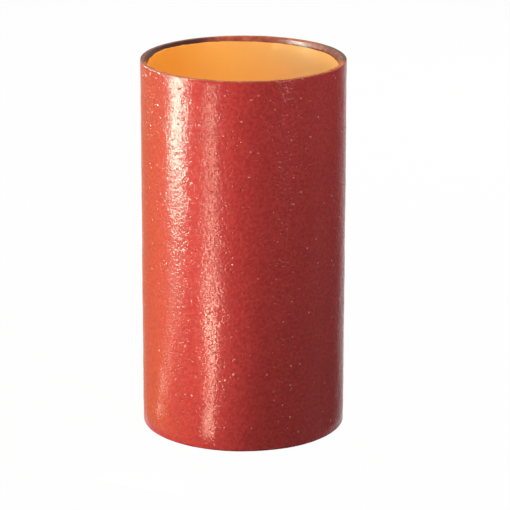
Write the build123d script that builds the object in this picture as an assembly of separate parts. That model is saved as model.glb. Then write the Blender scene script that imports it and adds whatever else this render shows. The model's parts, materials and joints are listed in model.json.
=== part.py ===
from build123d import *
import os

# A short cut length of hubless cast iron soil pipe, DN 100, standing on one end.
# Millimetres, +Z up. The origin is on the pipe's axis, in the middle of its lower end.

# Driving sizes of the pipe
outer_diameter = 110.0
wall_thickness = 3.5
pipe_length = 203.0

# Driving sizes of the dressed ends. The cut is square. The arris of the bore is ground back to
# a long chamfer, the ridge between chamfer and land is broken, and the outer arris is rounded.
mouth_chamfer_across = 1.3
mouth_chamfer_along = 2.6
ridge_round = 0.3
outer_edge_round = 0.8

# Worked out from the driving sizes
outer_radius = outer_diameter / 2
bore_radius = outer_radius - wall_thickness
land_inner_radius = bore_radius + mouth_chamfer_across
land_width = outer_radius - land_inner_radius


def wall_section():
    """The wall cut along the axis: X is the distance from the axis, Y the height."""
    corners = [
        (bore_radius, mouth_chamfer_along),
        (land_inner_radius, 0),
        (outer_radius, 0),
        (outer_radius, pipe_length),
        (land_inner_radius, pipe_length),
        (bore_radius, pipe_length - mouth_chamfer_along),
    ]
    return make_face(Polyline(*corners, close=True))


def break_ridges(section):
    """Rounds the two ridges where a chamfer meets the flat land of its end."""
    ridges = section.vertices().group_by(Axis.X)[1]
    return fillet(ridges, min(ridge_round, land_width / 2))


def round_outer_arrises(section):
    """Rounds the two outer arrises, by no more than half of the land that carries them."""
    arrises = section.vertices().group_by(Axis.X)[-1]
    return fillet(arrises, min(outer_edge_round, land_width / 2))


def make_pipe():
    """The pipe is one casting: its dressed wall section turned once about its axis."""
    section = round_outer_arrises(break_ridges(wall_section()))
    return revolve(Plane.XZ * section, Axis.Z)


def main():
    """Writes the pipe's one node."""
    os.makedirs("parts", exist_ok=True)
    export_step(make_pipe(), "parts/pipe.step")


if __name__ == "__main__":
    main()
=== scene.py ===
"""A short cut length of hubless cast iron soil pipe, standing on end on a pale studio floor.

The pipe is one casting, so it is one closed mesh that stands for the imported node. Its outside is a
finely wrinkled casting skin under red-brown primer, its two ends are cut square and dressed with a
long inner chamfer, and its bore has a smooth ochre lining. All lengths are in metres.
"""

import json
import logging
import math
from dataclasses import dataclass
from enum import Enum
from typing import Any, Mapping, Optional, Union

import bpy
from mathutils import Matrix, Vector, noise


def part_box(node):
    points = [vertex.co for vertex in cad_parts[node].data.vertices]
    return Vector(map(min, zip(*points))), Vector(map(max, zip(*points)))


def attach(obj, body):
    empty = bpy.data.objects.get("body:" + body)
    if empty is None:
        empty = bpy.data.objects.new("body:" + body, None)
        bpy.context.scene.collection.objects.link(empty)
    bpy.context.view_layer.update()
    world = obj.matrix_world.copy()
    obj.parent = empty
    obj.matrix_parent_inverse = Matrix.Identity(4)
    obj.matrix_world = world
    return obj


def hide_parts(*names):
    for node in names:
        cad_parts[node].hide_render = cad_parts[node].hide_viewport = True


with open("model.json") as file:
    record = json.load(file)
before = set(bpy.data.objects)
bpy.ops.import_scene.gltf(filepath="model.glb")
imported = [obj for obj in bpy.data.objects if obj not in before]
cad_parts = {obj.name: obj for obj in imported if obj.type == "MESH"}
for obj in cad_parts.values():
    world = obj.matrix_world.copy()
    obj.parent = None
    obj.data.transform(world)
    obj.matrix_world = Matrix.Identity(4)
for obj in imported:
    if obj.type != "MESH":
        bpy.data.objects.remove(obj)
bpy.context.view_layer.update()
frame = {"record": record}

MM = 0.001
NODE = "pipe"
BODY = "root"
PIECE_NAME = "coated_pipe"
WHITE = (1.0, 1.0, 1.0, 1.0)

# What an area lamp takes, in watts for each square metre, to shine with a strength of 1.
WATTS_PER_AREA = 4.0

# The strips of light are cool, because their shine lies on top of the red that shows below.
STRIP_TINT = (0.40, 1.0, 0.80)
LOW_TINT = (0.64, 0.84, 0.63)
CURL_TINT = (0.9, 0.95, 0.75)

log = logging.getLogger("soil_pipe")

Colour = tuple[float, float, float, float]
Tint = tuple[float, float, float]
Span = tuple[float, float]
Feed = Union["Signal", float, tuple]


class Signal:
    """One output of a shader node, so that shader maths reads as plain expressions."""

    def __init__(self, graph: "ShaderGraph", socket: Optional[bpy.types.NodeSocket]) -> None:
        """Wraps a socket of the graph's tree."""
        self.graph = graph
        self.socket = socket

    def _math(self, operation: str, first: Feed, second: Feed) -> "Signal":
        """Adds a Math node for two values."""
        return self.graph.add("ShaderNodeMath", {"operation": operation}, {0: first, 1: second})

    def __add__(self, other: Feed) -> "Signal":
        """The sum."""
        return self._math("ADD", self, other)

    def __radd__(self, other: Feed) -> "Signal":
        """The sum, from the right."""
        return self._math("ADD", other, self)

    def __sub__(self, other: Feed) -> "Signal":
        """The difference."""
        return self._math("SUBTRACT", self, other)

    def __rsub__(self, other: Feed) -> "Signal":
        """The difference, from the right."""
        return self._math("SUBTRACT", other, self)

    def __mul__(self, other: Feed) -> "Signal":
        """The product."""
        return self._math("MULTIPLY", self, other)

    def __rmul__(self, other: Feed) -> "Signal":
        """The product, from the right."""
        return self._math("MULTIPLY", other, self)

    def __pow__(self, other: Feed) -> "Signal":
        """The power."""
        return self._math("POWER", self, other)

    def __abs__(self) -> "Signal":
        """The distance from zero."""
        return self._math("ABSOLUTE", self, 0.0)

    def least(self, other: Feed) -> "Signal":
        """The lesser of two values."""
        return self._math("MINIMUM", self, other)

    def most(self, other: Feed) -> "Signal":
        """The greater of two values."""
        return self._math("MAXIMUM", self, other)


class MixInput(Enum):
    """The inputs of a Mix node, by the kind of data that it mixes."""

    FACTOR = 0
    LOWER_VALUE = 2
    UPPER_VALUE = 3
    LOWER_COLOUR = 6
    UPPER_COLOUR = 7


class MixOutput(Enum):
    """The outputs of a Mix node, by the kind of data that it mixes."""

    VALUE = 0
    COLOUR = 2


class ShaderGraph:
    """A node tree that is built node by node."""

    def __init__(self, tree: bpy.types.NodeTree) -> None:
        """Empties the tree."""
        self.tree = tree
        tree.nodes.clear()

    def add(
        self,
        kind: str,
        settings: Optional[Mapping[str, Any]] = None,
        inputs: Optional[Mapping[Union[str, int], Any]] = None,
        output: Union[str, int] = 0,
    ) -> Signal:
        """Adds one node.

        Args:
            kind: the node's type.
            settings: the node's own properties, which are set first.
            inputs: for each socket, by name or index, a constant or the Signal that feeds it.
            output: the output that is handed back, by name or index.

        Returns:
            The node's chosen output, which is the node's first for one that ends the tree.
        """
        node = self.tree.nodes.new(kind)
        for name, value in (settings or {}).items():
            setattr(node, name, value)
        for name, value in (inputs or {}).items():
            if isinstance(value, Signal):
                self.tree.links.new(value.socket, node.inputs[name])
            else:
                node.inputs[name].default_value = value
        return Signal(self, node.outputs[output] if node.outputs else None)

    def mix(self, mask: Feed, lower: Feed, upper: Feed) -> Signal:
        """Mixes two values, from lower where the mask is 0 to upper where it is 1."""
        return self.add(
            "ShaderNodeMix",
            {"data_type": "FLOAT"},
            {
                MixInput.FACTOR.value: mask,
                MixInput.LOWER_VALUE.value: lower,
                MixInput.UPPER_VALUE.value: upper,
            },
            MixOutput.VALUE.value,
        )

    def tint(self, mask: Feed, lower: Feed, upper: Feed) -> Signal:
        """Mixes two colours, from lower where the mask is 0 to upper where it is 1."""
        return self.add(
            "ShaderNodeMix",
            {"data_type": "RGBA"},
            {
                MixInput.FACTOR.value: mask,
                MixInput.LOWER_COLOUR.value: lower,
                MixInput.UPPER_COLOUR.value: upper,
            },
            MixOutput.COLOUR.value,
        )

    def rise(self, value: Feed, low: float, high: float) -> Signal:
        """A soft step from 0 at low to 1 at high, or the other way round if high is the lesser."""
        return self.add(
            "ShaderNodeMapRange",
            {"interpolation_type": "SMOOTHSTEP"},
            {"Value": value, "From Min": low, "From Max": high},
        )

    def grain(self, place: Feed, size: float, detail: float, roughness: float = 0.5) -> Signal:
        """Even noise between 0 and 1, mostly near its middle.

        Args:
            place: the coordinates, in metres.
            size: the width of its largest lumps, in metres.
            detail: how many finer octaves it has.
            roughness: how strong each finer octave is beside the one before.

        Returns:
            The noise value.
        """
        return self.add(
            "ShaderNodeTexNoise",
            {"noise_dimensions": "3D"},
            {"Vector": place, "Scale": 1.0 / size, "Detail": detail, "Roughness": roughness},
        )


@dataclass
class Coat:
    """What one finish gives to the shader at a point."""

    colour: Signal
    roughness: Signal
    height: Signal


@dataclass(frozen=True)
class Place:
    """Where a shaded point lies on the pipe."""

    point: Signal
    across: Signal
    forward: Signal
    from_axis: Signal
    from_end: Signal


@dataclass(frozen=True)
class RedPrimer:
    """Red-brown primer over the casting skin: glossy, mottled, painted lighter on the peaks as a
    highlight and darker in the hollows and pits as shade.

    Each span holds the two values of a pattern, or the two places, between which a look sets in.
    The primer lies thicker near the ends, and there it calms its relief.
    """

    colour: Colour = (0.60, 0.044, 0.038, 1.0)
    # Painted highlight on the relief's peaks, and painted shade in its hollows mixed with random
    # mottle.
    painted_highlight_colour: Colour = (0.68, 0.070, 0.050, 1.0)
    shade_and_mottle_colour: Colour = (0.46, 0.028, 0.028, 1.0)
    # Painted shade in the pits.
    pit_shade_colour: Colour = (0.28, 0.050, 0.030, 1.0)
    # Painted glints: pale specks stand in for spots of shine.
    glint_speck_colour: Colour = (0.96, 0.30, 0.26, 1.0)
    cloud_size: float = 24 * MM
    cloud_detail: float = 3.0
    cloud_roughness: float = 0.6
    cloud_mottle_span: Span = (0.45, 0.70)
    cloud_mottle_share: float = 0.25
    cloud_rough_span: Span = (0.35, 0.65)
    smooth_roughness: float = 0.18
    rough_roughness: float = 0.23
    peel_size: float = 1.65 * MM
    peel_height: float = 0.145 * MM
    peak_span: Span = (0.50, 0.72)
    peak_share: float = 0.5
    hollow_span: Span = (0.46, 0.30)
    hollow_share: float = 0.45
    worm_size: float = 1.3 * MM
    worm_height: float = 0.048 * MM
    worm_sharpness: float = 4.0
    calm_span: Span = (70 * MM, 30 * MM)
    calm_share: float = 0.72
    pit_spacing: float = 2.4 * MM
    pit_radius: float = 0.75 * MM
    pit_depth: float = 0.15 * MM
    pit_share: float = 0.8
    pit_shade: float = 0.6
    speck_spacing: float = 4.4 * MM
    speck_radius: float = 1.1 * MM
    speck_height: float = 0.25 * MM
    speck_share: float = 0.38
    glint_speck_span: Span = (0.3, 0.8)
    dot_cut: float = 0.02

    def coat(self, graph: ShaderGraph, place: Place) -> Coat:
        """Builds the primer's nodes.

        Args:
            graph: the material's graph.
            place: where the shaded point lies.

        Returns:
            The primer's colour, roughness and height.
        """
        peel = graph.grain(place.point, self.peel_size, 0.0)
        worm = graph.grain(place.point, self.worm_size, 0.0)
        worm = 1.0 - abs(worm - 0.5) * self.worm_sharpness
        pits = self.dots(graph, place, self.pit_spacing, self.pit_radius, self.pit_share)
        specks = self.dots(graph, place, self.speck_spacing, self.speck_radius, self.speck_share)
        clouds = graph.grain(place.point, self.cloud_size, self.cloud_detail, self.cloud_roughness)
        calm = graph.rise(place.from_end, *self.calm_span)
        height = peel * self.peel_height + worm * self.worm_height
        height = height * graph.mix(calm, 1.0, self.calm_share)
        height = height - pits * self.pit_depth + specks * self.speck_height
        # Painted highlight on the peaks and painted shade in the hollows, both following the bump;
        # the clouds add random mottle.
        peaks = graph.rise(peel, *self.peak_span) * self.peak_share
        hollows = graph.rise(peel, *self.hollow_span) * self.hollow_share
        shade_and_mottle = hollows + graph.rise(clouds, *self.cloud_mottle_span) * self.cloud_mottle_share
        colour = graph.tint(peaks, self.colour, self.painted_highlight_colour)
        colour = graph.tint(shade_and_mottle, colour, self.shade_and_mottle_colour)
        # Painted shade darkens the pits.
        colour = graph.tint(pits * self.pit_shade, colour, self.pit_shade_colour)
        # Painted glints: the specks' pale colour stands in for spots of shine.
        colour = graph.tint(graph.rise(specks, *self.glint_speck_span), colour, self.glint_speck_colour)
        rough = graph.rise(clouds, *self.cloud_rough_span)
        roughness = graph.mix(rough, self.smooth_roughness, self.rough_roughness)
        return Coat(colour, roughness, height)

    def dots(
        self, graph: ShaderGraph, place: Place, spacing: float, radius: float, share: float
    ) -> Signal:
        """Scattered round domes, for the grains that stand out of the skin and the pits in it.

        Args:
            graph: the material's graph.
            place: where the shaded point lies.
            spacing: the usual distance between two dots, in metres.
            radius: the radius of a dot, in metres.
            share: the share of the dots that are kept.

        Returns:
            The domes' height, from 0 to 1.
        """
        cells = {"Vector": place.point, "Scale": 1.0 / spacing}
        dome = graph.rise(graph.add("ShaderNodeTexVoronoi", inputs=cells), radius / spacing, 0.0)
        tint = graph.add("ShaderNodeTexVoronoi", inputs=cells, output="Color")
        chance = graph.add("ShaderNodeSeparateColor", inputs={0: tint})
        return dome * graph.rise(chance, 1.0 - share, 1.0 - share + self.dot_cut)


@dataclass(frozen=True)
class OchreLining:
    """Smooth ochre lining of the bore, cast in the spinning pipe, so nearly flat and satin.

    It is painted paler towards one side, as a highlight of the lamps there, over the span, which is
    measured across the pipe.
    """

    colour: Colour = (0.82, 0.335, 0.042, 1.0)
    # Painted highlight on the side that the lamps light.
    painted_highlight_colour: Colour = (0.96, 0.52, 0.115, 1.0)
    highlight_span: Span = (-46 * MM, -3 * MM)
    cloud_size: float = 30 * MM
    cloud_detail: float = 3.0
    wave_size: float = 9 * MM
    wave_detail: float = 1.0
    wave_height: float = 0.02 * MM
    roughness: float = 0.60
    roughness_swing: float = 0.1

    def coat(self, graph: ShaderGraph, place: Place) -> Coat:
        """Builds the lining's nodes.

        Args:
            graph: the material's graph.
            place: where the shaded point lies.

        Returns:
            The lining's colour, roughness and height.
        """
        clouds = graph.grain(place.point, self.cloud_size, self.cloud_detail)
        wave = graph.grain(place.point, self.wave_size, self.wave_detail)
        strayed = place.across + (clouds - 0.5) * self.wave_size
        # Painted highlight: paler towards one side, where the lamps light the bore.
        colour = graph.tint(graph.rise(strayed, *self.highlight_span), self.colour, self.painted_highlight_colour)
        roughness = clouds * self.roughness_swing + (self.roughness - self.roughness_swing / 2)
        return Coat(colour, roughness, wave * self.wave_height)


@dataclass(frozen=True)
class DressedEnd:
    """The cut and ground ends, where thin primer lies on dark iron and the land is rubbed bare.

    Painted shade darkens the far left of the mouth, where the chamfer faces away from the key, and
    the end is darker at its right front. The across and forward spans say where, in metres from the
    axis.
    """

    colour: Colour = (0.35, 0.078, 0.042, 1.0)
    land_colour: Colour = (0.55, 0.17, 0.07, 1.0)
    right_dark_colour: Colour = (0.12, 0.080, 0.070, 1.0)
    bare_colour: Colour = (0.030, 0.011, 0.009, 1.0)
    dust_colour: Colour = (0.42, 0.18, 0.15, 1.0)
    patch_size: float = 3.2 * MM
    patch_detail: float = 3.0
    patch_roughness: float = 0.6
    bare_span: Span = (0.62, 0.40)
    bare_share: float = 0.35
    dust_span: Span = (0.56, 0.70)
    dust_share: float = 0.4
    scratch_size: float = 1.6 * MM
    scratch_detail: float = 1.0
    scratch_height: float = 0.12 * MM
    chamfer_roughness: float = 0.32
    land_roughness: float = 0.95
    # Where painted shade darkens the far left of the mouth.
    shade_across: Span = (-6 * MM, -24 * MM)
    shade_forward: Span = (-14 * MM, -5 * MM)
    shade_wander: float = 6.4 * MM
    shade_share: float = 0.95
    shade_dust_share: float = 0.4
    # Where the end is darker, at its right front.
    right_dark_across: Span = (38 * MM, 48 * MM)
    right_dark_forward: Span = (-14 * MM, -2 * MM)
    right_dark_share: float = 0.3
    right_dark_land_share: float = 0.6

    def over(
        self, graph: ShaderGraph, place: Place, ground: Signal, land: Signal, coat: Coat
    ) -> Coat:
        """Lays the dressed look over a coat.

        Args:
            graph: the material's graph.
            place: where the shaded point lies.
            ground: 1 on the chamfer and the land.
            land: 1 on the land and the ridge beside it.
            coat: the coat below.

        Returns:
            The coat with its dressed ends.
        """
        patches = graph.grain(place.point, self.patch_size, self.patch_detail, self.patch_roughness)
        scratches = graph.grain(place.point, self.scratch_size, self.scratch_detail)
        bare = graph.rise(patches, *self.bare_span) * self.bare_share
        dusty = graph.rise(patches, *self.dust_span) * self.dust_share
        # Painted shade on the far left of the mouth, where the chamfer faces away from the key; dust
        # lies on the land there.
        painted_shade = graph.rise(place.across + patches * self.shade_wander, *self.shade_across)
        painted_shade = painted_shade * graph.rise(place.forward, *self.shade_forward)
        # Darker at the right front of the end, more on the land.
        right_dark = graph.rise(place.across, *self.right_dark_across)
        right_dark = right_dark * graph.rise(place.forward, *self.right_dark_forward)
        right_dark = right_dark * (land * self.right_dark_land_share + self.right_dark_share)
        colour = graph.tint(land, self.colour, self.land_colour)
        colour = graph.tint(bare, colour, self.bare_colour)
        colour = graph.tint(dusty, colour, self.dust_colour)
        colour = graph.tint(painted_shade * self.shade_share, colour, self.bare_colour)
        colour = graph.tint(painted_shade * land * self.shade_dust_share, colour, self.dust_colour)
        colour = graph.tint(right_dark, colour, self.right_dark_colour)
        roughness = graph.mix(land, self.chamfer_roughness, self.land_roughness)
        return Coat(
            graph.tint(ground, coat.colour, colour),
            graph.mix(ground, coat.roughness, roughness),
            graph.mix(ground, coat.height, scratches * self.scratch_height),
        )


@dataclass(frozen=True)
class PipeSizes:
    """The pipe's sizes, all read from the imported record."""

    outer_radius: float
    bore_radius: float
    length: float
    chamfer_along: float
    edge_round: float
    land_inner_radius: float

    @classmethod
    def from_frame(cls) -> "PipeSizes":
        """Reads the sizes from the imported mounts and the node's box.

        Returns:
            The sizes, in metres.
        """
        mounts = {mount["name"]: mount for mount in frame["record"]["mounts"]}
        outer, bore = mounts["outer_wall"]["dims"], mounts["bore"]["dims"]
        low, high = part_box(NODE)
        length = high.z - low.z
        outer_radius = outer["r_mm"] * MM
        edge_round = (length - outer["length_mm"] * MM) / 2
        land_middle = mounts["top_end"]["pos_m"][0]
        return cls(
            outer_radius=outer_radius,
            bore_radius=bore["r_mm"] * MM,
            length=length,
            chamfer_along=(length - bore["length_mm"] * MM) / 2,
            edge_round=edge_round,
            land_inner_radius=2 * land_middle - (outer_radius - edge_round),
        )


@dataclass(frozen=True)
class CoatedCasting:
    """The whole finish of the pipe: primer outside and on the ends, lining in the bore.

    The primer wraps past the chamfer into the bore by the overspray, which leans to one side,
    grows at the two sides and wanders. The arris and ridge spans are measured outwards from
    where the outer rounding and the land begin, and the face span is in shares of the rounding.
    """

    sizes: PipeSizes
    primer: RedPrimer = RedPrimer()
    lining: OchreLining = OchreLining()
    end: DressedEnd = DressedEnd()
    overspray: float = 0.05 * MM
    overspray_lean: float = 0.8 * MM
    overspray_sides: float = 2.0 * MM
    sides_power: float = 20.0
    overspray_wander: float = 0.5 * MM
    wander_size: float = 7 * MM
    wander_detail: float = 3.0
    line_softness: float = 0.08 * MM
    wall_softness: float = 0.1 * MM
    arris_span: Span = (0.25 * MM, -0.05 * MM)
    face_span: Span = (0.6, 0.2)
    ridge_span: Span = (-0.35 * MM, 0.05 * MM)
    specular_level: float = 0.16
    lining_gloss: float = 0.5
    lining_gloss_roughness: float = 0.60

    def place(self, graph: ShaderGraph) -> Place:
        """Measures where the shaded point lies.

        Args:
            graph: the material's graph.

        Returns:
            The point and its distances from the axis and from the nearer end.
        """
        point = graph.add("ShaderNodeTexCoord", output="Object")
        across, forward, height = (
            graph.add("ShaderNodeSeparateXYZ", inputs={0: point}, output=axis) for axis in "XYZ"
        )
        from_axis = (across * across + forward * forward) ** 0.5
        from_end = height.least(self.sizes.length - height)
        return Place(point, across, forward, from_axis, from_end)

    def lining_mask(self, graph: ShaderGraph, place: Place) -> Signal:
        """Where the lining shows: in the bore, past the primer that wraps over the chamfer.

        Args:
            graph: the material's graph.
            place: where the shaded point lies.

        Returns:
            1 on the lining and 0 on the primer.
        """
        sizes = self.sizes
        aside = place.across * (1.0 / sizes.bore_radius)
        sides = abs(aside) ** self.sides_power * self.overspray_sides
        wander = graph.grain(place.point, self.wander_size, self.wander_detail)
        line = aside * self.overspray_lean + sides + wander * (2 * self.overspray_wander)
        line = line + (sizes.chamfer_along + self.overspray - self.overspray_wander)
        past_line = graph.rise(place.from_end - line, -self.line_softness, self.line_softness)
        middle = (sizes.bore_radius + sizes.outer_radius) / 2
        soft = self.wall_softness
        return past_line * graph.rise(place.from_axis, middle + soft, middle - soft)

    def end_masks(self, graph: ShaderGraph, place: Place) -> tuple[Signal, Signal]:
        """The dressed part of the ends, and the land on it.

        Args:
            graph: the material's graph.
            place: where the shaded point lies.

        Returns:
            1 on the chamfer and the land, and 1 on the land and the ridge beside it.
        """
        sizes = self.sizes
        arris = (sizes.outer_radius - sizes.edge_round + step for step in self.arris_span)
        face = (sizes.edge_round * share for share in self.face_span)
        ridge = (sizes.land_inner_radius + step for step in self.ridge_span)
        inside = graph.rise(place.from_axis, *arris)
        end_face = graph.rise(place.from_end, *face)
        return inside.most(end_face), end_face * graph.rise(place.from_axis, *ridge)

    def material(self) -> bpy.types.Material:
        """Builds the material.

        Returns:
            The pipe's material.
        """
        material = bpy.data.materials.new("coated_casting")
        material.use_nodes = True
        graph = ShaderGraph(material.node_tree)
        place = self.place(graph)
        ground, land = self.end_masks(graph, place)
        primer = self.end.over(graph, place, ground, land, self.primer.coat(graph, place))
        lining = self.lining.coat(graph, place)
        lined = self.lining_mask(graph, place)
        bump = graph.add(
            "ShaderNodeBump",
            inputs={
                "Height": graph.mix(lined, primer.height, lining.height),
                "Distance": 1.0,
                "Strength": 1.0,
            },
        )
        shader = graph.add(
            "ShaderNodeBsdfPrincipled",
            inputs={
                "Base Color": graph.tint(lined, primer.colour, lining.colour),
                "Roughness": graph.mix(lined, primer.roughness, lining.roughness),
                "Specular IOR Level": self.specular_level,
                "Coat Weight": lined * self.lining_gloss,
                "Coat Roughness": self.lining_gloss_roughness,
                "Normal": bump,
            },
        )
        graph.add("ShaderNodeOutputMaterial", inputs={"Surface": shader})
        return material


class Skin(Enum):
    """The kinds of surface along the wall's section."""

    OUTSIDE = "outside"
    ARRIS = "arris"
    LAND = "land"
    CHAMFER = "chamfer"
    BORE = "bore"


@dataclass(frozen=True)
class Station:
    """One point of the wall's section, with the way that it faces."""

    radius: float
    height: float
    outward: float
    upward: float
    skin: Skin


@dataclass(frozen=True)
class CastingSkin:
    """The relief of the casting, in metres, as far as the mesh can hold it."""

    sway_size: float = 32 * MM
    sway_height: float = 0.16 * MM
    peel_size: float = 7.0 * MM
    peel_height: float = 0.12 * MM
    wrinkle_size: float = 3.4 * MM
    wrinkle_height: float = 0.045 * MM
    crease_top: float = 0.5
    crease_slope: float = 2.0
    bore_size: float = 14 * MM
    bore_height: float = 0.05 * MM
    cut_size: float = 5 * MM
    cut_height: float = 0.10 * MM
    arris_share: float = 0.5

    def lift(self, point: Vector, skin: Skin) -> float:
        """How far the surface stands out of the true section at a point.

        Args:
            point: the point on the true section.
            skin: the kind of surface that it lies on.

        Returns:
            The distance along the way that the surface faces.
        """
        if skin is Skin.BORE:
            return self.bore_height * noise.noise(point / self.bore_size)
        if skin in (Skin.LAND, Skin.CHAMFER):
            return min(0.0, self.cut_height * noise.noise(point / self.cut_size))
        sway = self.sway_height * noise.noise(point / self.sway_size)
        peel = self.peel_height * noise.noise(point / self.peel_size)
        ridges = abs(noise.noise(point / self.wrinkle_size))
        crease = self.wrinkle_height * (self.crease_top - self.crease_slope * ridges)
        share = self.arris_share if skin is Skin.ARRIS else 1.0
        return share * (sway + peel + crease)


@dataclass
class CastPipe:
    """The pipe's mesh: its wall section, carried round the axis, with the casting's relief."""

    sizes: PipeSizes
    skin: CastingSkin = CastingSkin()
    columns: int = 420
    outside_rows: int = 188
    bore_rows: int = 22
    arris_steps: int = 4
    land_steps: int = 2
    chamfer_steps: int = 3
    chamfer_lead: float = 0.12
    ridge_round: float = 0.3 * MM
    support_gap: float = 0.25 * MM

    def end_stations(self, top: bool) -> list[Station]:
        """The stations of the upper end, from the outside to the bore, or of the lower end.

        Args:
            top: whether it is the upper end.

        Returns:
            The stations, always in the order from the outside to the bore.
        """
        sizes = self.sizes
        sign = 1.0 if top else -1.0
        end = sizes.length if top else 0.0
        stations = []
        centre = sizes.outer_radius - sizes.edge_round
        for step in range(self.arris_steps + 1):
            turn = math.pi / 2 * step / self.arris_steps
            stations.append(
                Station(
                    centre + sizes.edge_round * math.cos(turn),
                    end - sign * sizes.edge_round * (1 - math.sin(turn)),
                    math.cos(turn),
                    sign * math.sin(turn),
                    Skin.ARRIS,
                )
            )
        ridge = sizes.land_inner_radius + self.ridge_round
        for step in range(1, self.land_steps + 1):
            radius = centre + (ridge - centre) * step / self.land_steps
            stations.append(Station(radius, end, 0.0, sign, Skin.LAND))
        across = sizes.land_inner_radius - sizes.bore_radius
        along = sizes.chamfer_along
        slope = math.hypot(across, along)
        outward, upward = -along / slope, sign * across / slope
        for step in range(self.chamfer_steps + 1):
            share = (step + self.chamfer_lead) / (self.chamfer_steps + self.chamfer_lead)
            stations.append(
                Station(
                    sizes.land_inner_radius - across * share,
                    end - sign * along * share,
                    outward,
                    upward,
                    Skin.CHAMFER,
                )
            )
        return stations

    def stations(self) -> list[Station]:
        """The whole closed section, up the outside, over the top, down the bore and back.

        Returns:
            The stations in order.
        """
        sizes = self.sizes
        foot, top = self.end_stations(False), self.end_stations(True)
        low = sizes.edge_round + self.support_gap
        high = sizes.length - low
        outside = []
        for row in range(self.outside_rows):
            height = low + (high - low) * row / (self.outside_rows - 1)
            outside.append(Station(sizes.outer_radius, height, 1.0, 0.0, Skin.OUTSIDE))
        deep = sizes.length - sizes.chamfer_along - self.support_gap
        shallow = sizes.chamfer_along + self.support_gap
        bore = []
        for row in range(self.bore_rows):
            height = deep + (shallow - deep) * row / (self.bore_rows - 1)
            bore.append(Station(sizes.bore_radius, height, -1.0, 0.0, Skin.BORE))
        return outside + top + bore + foot[::-1]

    def build(self) -> bpy.types.Object:
        """Makes the mesh, all of quads, closed, with smooth shading.

        Returns:
            The pipe's object.
        """
        stations = self.stations()
        vertices = []
        for column in range(self.columns):
            turn = 2 * math.pi * column / self.columns
            across, forward = math.cos(turn), math.sin(turn)
            for station in stations:
                flat = Vector((across * station.radius, forward * station.radius, station.height))
                lift = self.skin.lift(flat, station.skin)
                out = lift * station.outward
                vertices.append(
                    (flat.x + across * out, flat.y + forward * out, flat.z + lift * station.upward)
                )
        count = len(stations)
        faces = []
        for column in range(self.columns):
            here, there = column * count, (column + 1) % self.columns * count
            for row in range(count):
                after = (row + 1) % count
                faces.append((here + row, there + row, there + after, here + after))
        mesh = bpy.data.meshes.new(PIECE_NAME)
        mesh.from_pydata(vertices, [], faces)
        mesh.validate()
        mesh.shade_smooth()
        pipe = bpy.data.objects.new(PIECE_NAME, mesh)
        bpy.context.scene.collection.objects.link(pipe)
        return pipe

    def dress(self, pipe: bpy.types.Object) -> None:
        """Gives the pipe its coats and its place in the frame.

        Args:
            pipe: the pipe's object.
        """
        pipe.data.materials.append(CoatedCasting(self.sizes).material())
        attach(pipe, BODY)
        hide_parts(NODE)


class Reach(Enum):
    """What a lamp does: shade surfaces, or show in their shine."""

    SHADE = (True, False)
    SHINE = (False, True)


@dataclass(frozen=True)
class Softbox:
    """One studio lamp, placed round the pipe's axis. Azimuth 0 is the camera's side."""

    name: str
    azimuth_deg: float
    distance: float
    height: float
    width: float
    tall: float
    strength: float
    colour: Tint
    aim_height: float

    def build(self, reach: Reach) -> None:
        """Adds the lamp, facing the axis, unseen by the camera.

        Args:
            reach: what the lamp does.
        """
        lamp = bpy.data.lights.new(self.name, "AREA")
        lamp.shape = "RECTANGLE"
        lamp.size, lamp.size_y = self.width, self.tall
        lamp.energy = self.strength * WATTS_PER_AREA * self.width * self.tall
        lamp.color = self.colour
        turn = math.radians(self.azimuth_deg)
        place = Vector(
            (math.sin(turn) * self.distance, -math.cos(turn) * self.distance, self.height)
        )
        box = bpy.data.objects.new(self.name, lamp)
        box.location = place
        box.rotation_mode = "QUATERNION"
        box.rotation_quaternion = (Vector((0, 0, self.aim_height)) - place).to_track_quat("-Z", "Y")
        box.visible_camera = False
        box.visible_diffuse, box.visible_glossy = reach.value
        bpy.context.scene.collection.objects.link(box)


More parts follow.
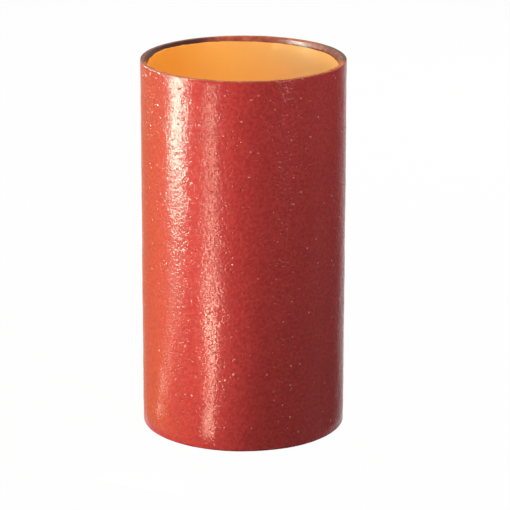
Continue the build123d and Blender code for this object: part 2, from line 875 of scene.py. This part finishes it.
@dataclass(frozen=True)
class GlossBoard:
    """A ring of board on the floor round the pipe, which only shows in the pipe's gloss.

    It is warm and bright on the key's side, white behind and dark on the far side, as the photo's
    surroundings are. Its stops are pairs of an azimuth and what the board shines with that way.
    """

    pipe_radius: float
    rings: tuple[float, ...] = (0.06, 0.075, 0.10, 0.14, 0.20, 0.30, 0.50, 1.0, 2.5)
    lift: float = 0.5 * MM
    columns: int = 180
    rounds: int = 6
    stops: tuple[tuple[float, Tint], ...] = (
        (-180, (1.0, 1.0, 1.0)),
        (-165, (0.85, 0.65, 0.45)),
        (-154, (0.80, 0.50, 0.26)),
        (-136, (0.85, 0.66, 0.20)),
        (-123, (1.5, 1.3, 0.40)),
        (-112, (2.3, 2.1, 0.70)),
        (-102, (2.8, 2.6, 1.0)),
        (-88, (2.2, 2.1, 1.0)),
        (-64, (1.8, 1.9, 1.2)),
        (-45, (1.6, 1.7, 1.2)),
        (-20, (1.0, 1.0, 1.0)),
        (90, (0.9, 0.9, 0.9)),
        (110, (0.45, 0.45, 0.45)),
        (127, (0.18, 0.18, 0.18)),
        (138, (0.22, 0.22, 0.22)),
        (150, (0.55, 0.55, 0.55)),
        (165, (0.9, 0.9, 0.9)),
        (180, (1.0, 1.0, 1.0)),
    )

    def glow(self, azimuth_deg: float) -> Colour:
        """What the board shines with at one azimuth, between its stops.

        Args:
            azimuth_deg: the azimuth, from -180 to 180 degrees.

        Returns:
            The colour, with an alpha of 1.
        """
        for (low, dim), (high, bright) in zip(self.stops, self.stops[1:]):
            if azimuth_deg <= high:
                share = (azimuth_deg - low) / (high - low)
                return tuple(a + (b - a) * share for a, b in zip(dim, bright)) + (1.0,)
        return self.stops[-1][1] + (1.0,)

    def facing(self, azimuth_deg: float, radius: float) -> float:
        """Which way a ray runs that leaves the pipe's wall and meets the board at one point.

        Args:
            azimuth_deg: the point's azimuth, from -180 to 180 degrees.
            radius: the point's distance from the axis.

        Returns:
            The ray's own azimuth, which further out comes near to the point's.
        """
        turn = math.radians(azimuth_deg)
        wall_turn = turn / 2
        for _ in range(self.rounds):
            wall_turn = (turn + math.asin(self.pipe_radius * math.sin(wall_turn) / radius)) / 2
        return max(-180.0, min(180.0, math.degrees(2 * wall_turn)))

    def build(self) -> None:
        """Adds the board, unseen by the camera, which lights and shades nothing."""
        corners, glows, faces = [], [], []
        for column in range(self.columns + 1):
            azimuth = -180 + 360 * column / self.columns
            turn = math.radians(azimuth)
            for radius in self.rings:
                corners.append((math.sin(turn) * radius, -math.cos(turn) * radius, self.lift))
                glows.append(self.glow(self.facing(azimuth, radius)))
        count = len(self.rings)
        for column in range(self.columns):
            for ring in range(count - 1):
                first = column * count + ring
                faces.append((first, first + 1, first + count + 1, first + count))
        mesh = bpy.data.meshes.new("gloss_board")
        mesh.from_pydata(corners, [], faces)
        layer = mesh.color_attributes.new("glow", "FLOAT_COLOR", "POINT")
        for point, glow in zip(layer.data, glows):
            point.color = glow
        material = bpy.data.materials.new("board_glow")
        material.use_nodes = True
        graph = ShaderGraph(material.node_tree)
        painted = graph.add("ShaderNodeVertexColor", {"layer_name": "glow"})
        shine = graph.add("ShaderNodeEmission", inputs={"Color": painted, "Strength": 1.0})
        graph.add("ShaderNodeOutputMaterial", inputs={"Surface": shine})
        mesh.materials.append(material)
        board = bpy.data.objects.new("gloss_board", mesh)
        board.visible_camera = board.visible_diffuse = board.visible_shadow = False
        board.visible_transmission = board.visible_volume_scatter = False
        bpy.context.scene.collection.objects.link(board)


@dataclass(frozen=True)
class PhotoCamera:
    """The camera, at the photograph's viewing angle."""

    distance: float = 1.5
    height: float = 0.550
    pitch_deg: float = 16.935
    yaw_deg: float = -0.24
    roll_deg: float = 0.08
    focal_px: float = 2886.0
    frame_px: float = 510.0
    sensor_mm: float = 36.0
    clip: Span = (0.05, 20.0)

    def build(self) -> None:
        """Adds the camera and makes it the scene's."""
        pitch, yaw, roll = map(math.radians, (self.pitch_deg, self.yaw_deg, self.roll_deg))
        turned = Matrix.Rotation(yaw, 3, "Z")
        forward = turned @ Vector((0, math.cos(pitch), -math.sin(pitch)))
        right = turned @ Vector((1, 0, 0))
        up = right.cross(forward)
        rolled_right = right * math.cos(roll) + up * math.sin(roll)
        rolled_up = up * math.cos(roll) - right * math.sin(roll)
        lens = bpy.data.cameras.new("photo_camera")
        lens.sensor_width = self.sensor_mm
        lens.lens = self.focal_px / self.frame_px * self.sensor_mm
        lens.clip_start, lens.clip_end = self.clip
        camera = bpy.data.objects.new("photo_camera", lens)
        axes = Matrix((rolled_right, rolled_up, -forward)).transposed().to_4x4()
        camera.matrix_world = Matrix.Translation((0, -self.distance, self.height)) @ axes
        bpy.context.scene.collection.objects.link(camera)
        bpy.context.scene.camera = camera


@dataclass(frozen=True)
class Studio:
    """A pale floor, a white surround and soft lamps.

    Each lamp has a name, azimuth, distance and height, width, tallness, strength, colour and the
    height on the axis that it faces.
    """

    gloss_board: GlossBoard
    floor_half: float = 3.0
    floor_colour: Colour = (0.90, 0.90, 0.89, 1.0)
    floor_bounce_colour: Colour = (0.10, 0.10, 0.10, 1.0)
    floor_white_share: float = 0.98
    fill_colour: Colour = (1.0, 0.97, 1.0, 1.0)
    fill_strength: float = 0.03
    shade_lamps: tuple[Softbox, ...] = (
        Softbox("key", -80, 1.40, 0.185, 0.35, 0.37, 34.4, (1.0, 0.98, 0.90), 0.10),
        Softbox("side_strip", -27, 0.12, 0.12, 0.05, 0.34, 1.30, (1.0, 0.97, 0.92), 0.12),
        Softbox("front_fill", 50, 0.45, 0.60, 0.20, 0.20, 12.0, (1.0, 0.93, 1.0), 0.14),
        Softbox("mouth_light", 0, 0.001, 0.28, 0.04, 0.04, 10.5, (1.0, 0.98, 0.92), 0.0),
        Softbox("back_fill", 160, 0.90, 0.60, 0.50, 0.50, 5.5, (1.0, 0.97, 0.95), 0.10),
    )
    shine_lamps: tuple[Softbox, ...] = (
        Softbox("key_shine", -74.8, 0.44, 0.262, 0.132, 0.466, 39.0, STRIP_TINT, 0.25),
        Softbox("key_core", -74.8, 0.44, 0.075, 0.140, 0.075, 25.0, STRIP_TINT, 0.075),
        Softbox("key_low", -73, 0.20, 0.03, 0.05, 0.05, 4.0, (0.3, 0.95, 0.70), 0.03),
        Softbox("haze_box", -95, 0.70, 0.55, 0.60, 0.45, 8.0, (0.4, 0.98, 0.80), 0.20),
        Softbox("rim_glare", -77, 0.80, 0.70, 0.16, 0.16, 150.0, (1.0, 0.98, 0.95), 0.20),
        Softbox("low_foot", -24.5, 0.070, 0.0085, 0.0095, 0.016, 15.5, LOW_TINT, 0.0085),
        Softbox("low_near", -27, 0.10, 0.035, 0.0085, 0.07, 27.0, LOW_TINT, 0.035),
        Softbox("low_middle", -31.5, 0.185, 0.045, 0.020, 0.09, 25.0, LOW_TINT, 0.045),
        Softbox("low_far", -34.5, 0.38, 0.022, 0.034, 0.044, 42.0, LOW_TINT, 0.022),
        Softbox("low_high", -34.5, 0.38, 0.078, 0.034, 0.044, 42.0, LOW_TINT, 0.078),
        Softbox("low_top", -34.5, 0.38, 0.130, 0.034, 0.036, 39.0, LOW_TINT, 0.130),
        Softbox("spark", 46, 1.20, 0.22, 0.15, 0.14, 85.0, (1.0, 0.60, 0.55), 0.1),
        Softbox("spark_left", -128, 1.20, 0.14, 0.20, 0.13, 95.0, (0.8, 0.95, 0.80), 0.1),
        Softbox("worm_upper", -73.3, 0.125, 0.029, 0.005, 0.030, 14.0, CURL_TINT, 0.045),
        Softbox("worm_lower", -79.0, 0.103, 0.0130, 0.005, 0.016, 17.0, CURL_TINT, 0.020),
        Softbox("worm_foot", -75.0, 0.0760, 0.0048, 0.004, 0.007, 9.0, CURL_TINT, 0.008),
    )

    def seen_directly(self, graph: ShaderGraph) -> Signal:
        """Tells what the camera sees from the rest of the light.

        Args:
            graph: the graph that asks.

        Returns:
            1 for what the camera sees, also in a mirror or through glass, and 0 for other light.
        """
        camera, gloss, glass = (
            graph.add("ShaderNodeLightPath", output=name)
            for name in ("Is Camera Ray", "Is Glossy Ray", "Is Transmission Ray")
        )
        return camera.most(gloss).most(glass)

    def build_world(self) -> None:
        """Makes the surround, white where it is seen and a dim fill for the rest."""
        world = bpy.data.worlds.new("surround")
        world.use_nodes = True
        graph = ShaderGraph(world.node_tree)
        fill = graph.add(
            "ShaderNodeBackground",
            inputs={"Color": self.fill_colour, "Strength": self.fill_strength},
        )
        white = graph.add("ShaderNodeBackground", inputs={"Color": WHITE, "Strength": 1.0})
        mixed = graph.add(
            "ShaderNodeMixShader", inputs={0: self.seen_directly(graph), 1: fill, 2: white}
        )
        graph.add("ShaderNodeOutputWorld", inputs={"Surface": mixed})
        bpy.context.scene.world = world

    def build_floor(self) -> None:
        """Makes the floor, which keeps a faint shadow."""
        half = self.floor_half
        mesh = bpy.data.meshes.new("studio_floor")
        corners = [(-half, -half, 0), (half, -half, 0), (half, half, 0), (-half, half, 0)]
        mesh.from_pydata(corners, [], [(0, 1, 2, 3)])
        material = bpy.data.materials.new("pale_floor")
        material.use_nodes = True
        graph = ShaderGraph(material.node_tree)
        bounce = graph.add("ShaderNodeBsdfDiffuse", inputs={"Color": self.floor_bounce_colour})
        lit = graph.add("ShaderNodeBsdfDiffuse", inputs={"Color": self.floor_colour})
        white = graph.add("ShaderNodeEmission", inputs={"Color": WHITE, "Strength": 1.0})
        shown = graph.add(
            "ShaderNodeMixShader", inputs={0: self.floor_white_share, 1: lit, 2: white}
        )
        mixed = graph.add(
            "ShaderNodeMixShader", inputs={0: self.seen_directly(graph), 1: bounce, 2: shown}
        )
        graph.add("ShaderNodeOutputMaterial", inputs={"Surface": mixed})
        mesh.materials.append(material)
        floor = bpy.data.objects.new("studio_floor", mesh)
        bpy.context.scene.collection.objects.link(floor)

    def build(self) -> None:
        """Makes the surround, the floor and the lamps."""
        self.build_world()
        self.build_floor()
        self.gloss_board.build()
        for lamp in self.shade_lamps:
            lamp.build(Reach.SHADE)
        for lamp in self.shine_lamps:
            lamp.build(Reach.SHINE)


def main() -> None:
    """Builds the camera, the studio and the pipe, in that order."""
    bpy.context.scene.view_settings.view_transform = "Standard"
    sizes = PipeSizes.from_frame()
    PhotoCamera().build()
    log.info("camera set")
    Studio(GlossBoard(sizes.outer_radius)).build()
    log.info("studio lit")
    cast_pipe = CastPipe(sizes)
    pipe = cast_pipe.build()
    cast_pipe.dress(pipe)
    log.info("pipe built with %d faces", len(pipe.data.polygons))


if __name__ == "__main__":
    logging.basicConfig(level=logging.INFO)
    main()
